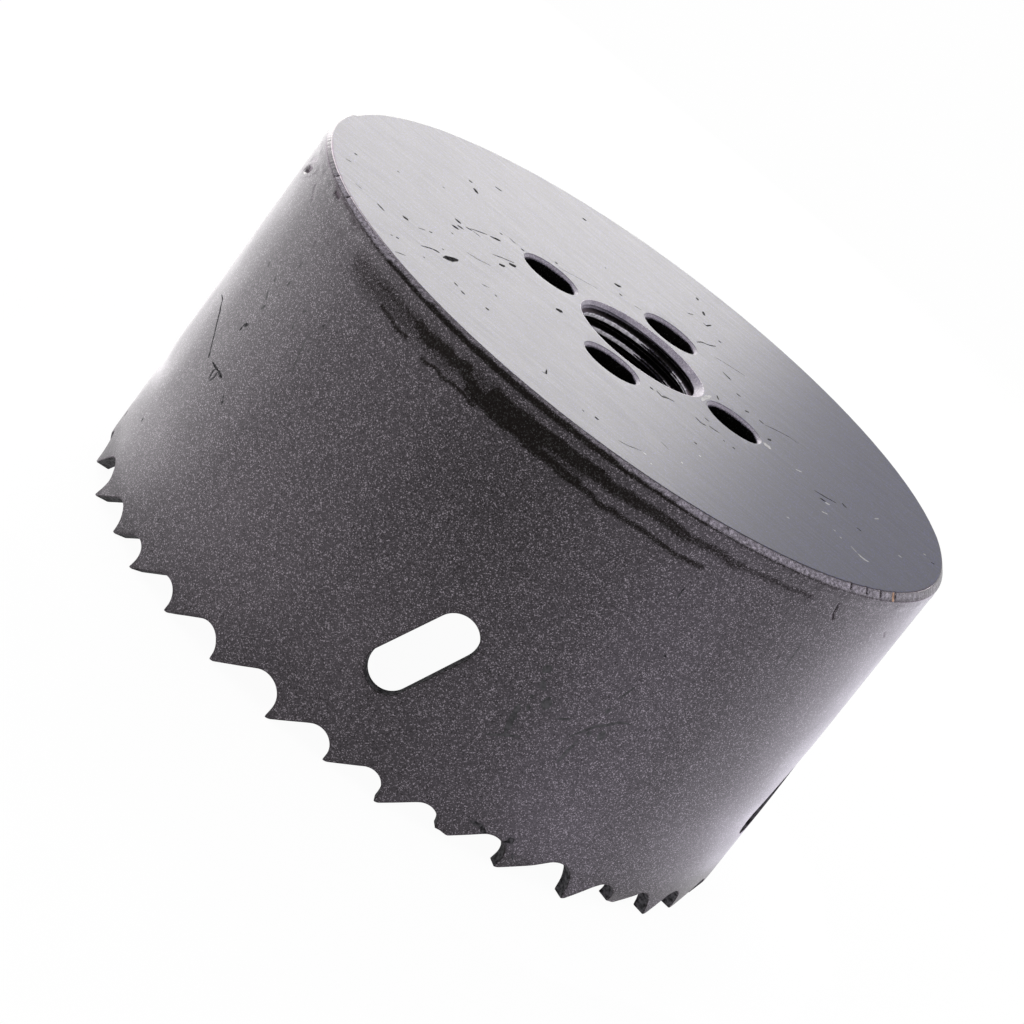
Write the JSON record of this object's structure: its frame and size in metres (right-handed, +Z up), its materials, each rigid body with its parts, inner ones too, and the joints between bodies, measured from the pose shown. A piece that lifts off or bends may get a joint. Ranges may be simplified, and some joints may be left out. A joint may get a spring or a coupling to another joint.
{
  "type": "hole saw",
  "caption": "Cup-shaped hole saw: a thin toothed steel shell with slanted slots, closed by a thick flat end cap with a threaded arbor hole and drive-pin holes.",
  "frame": {"origin": "middle of the ring of tooth tips, on the tip plane, where the shell's axis meets it", "axes": "+Z up the shell's axis from the tooth tips to the end cap's face; +X through the middle of one drive-pin hole; right-handed, scale metres"},
  "size_m": [0.0819, 0.0821, 0.0443],
  "materials": {
    "cap_paint": "smooth semi-gloss dark grey metallic-flake paint, scratched",
    "shell_paint": "semi-gloss dark grey metallic-flake paint, scratched, teeth dulled"
  },
  "bodies": {
    "root": {"end_cap": "cap_paint", "toothed_shell": "shell_paint"}
  },
  "joints": []
}
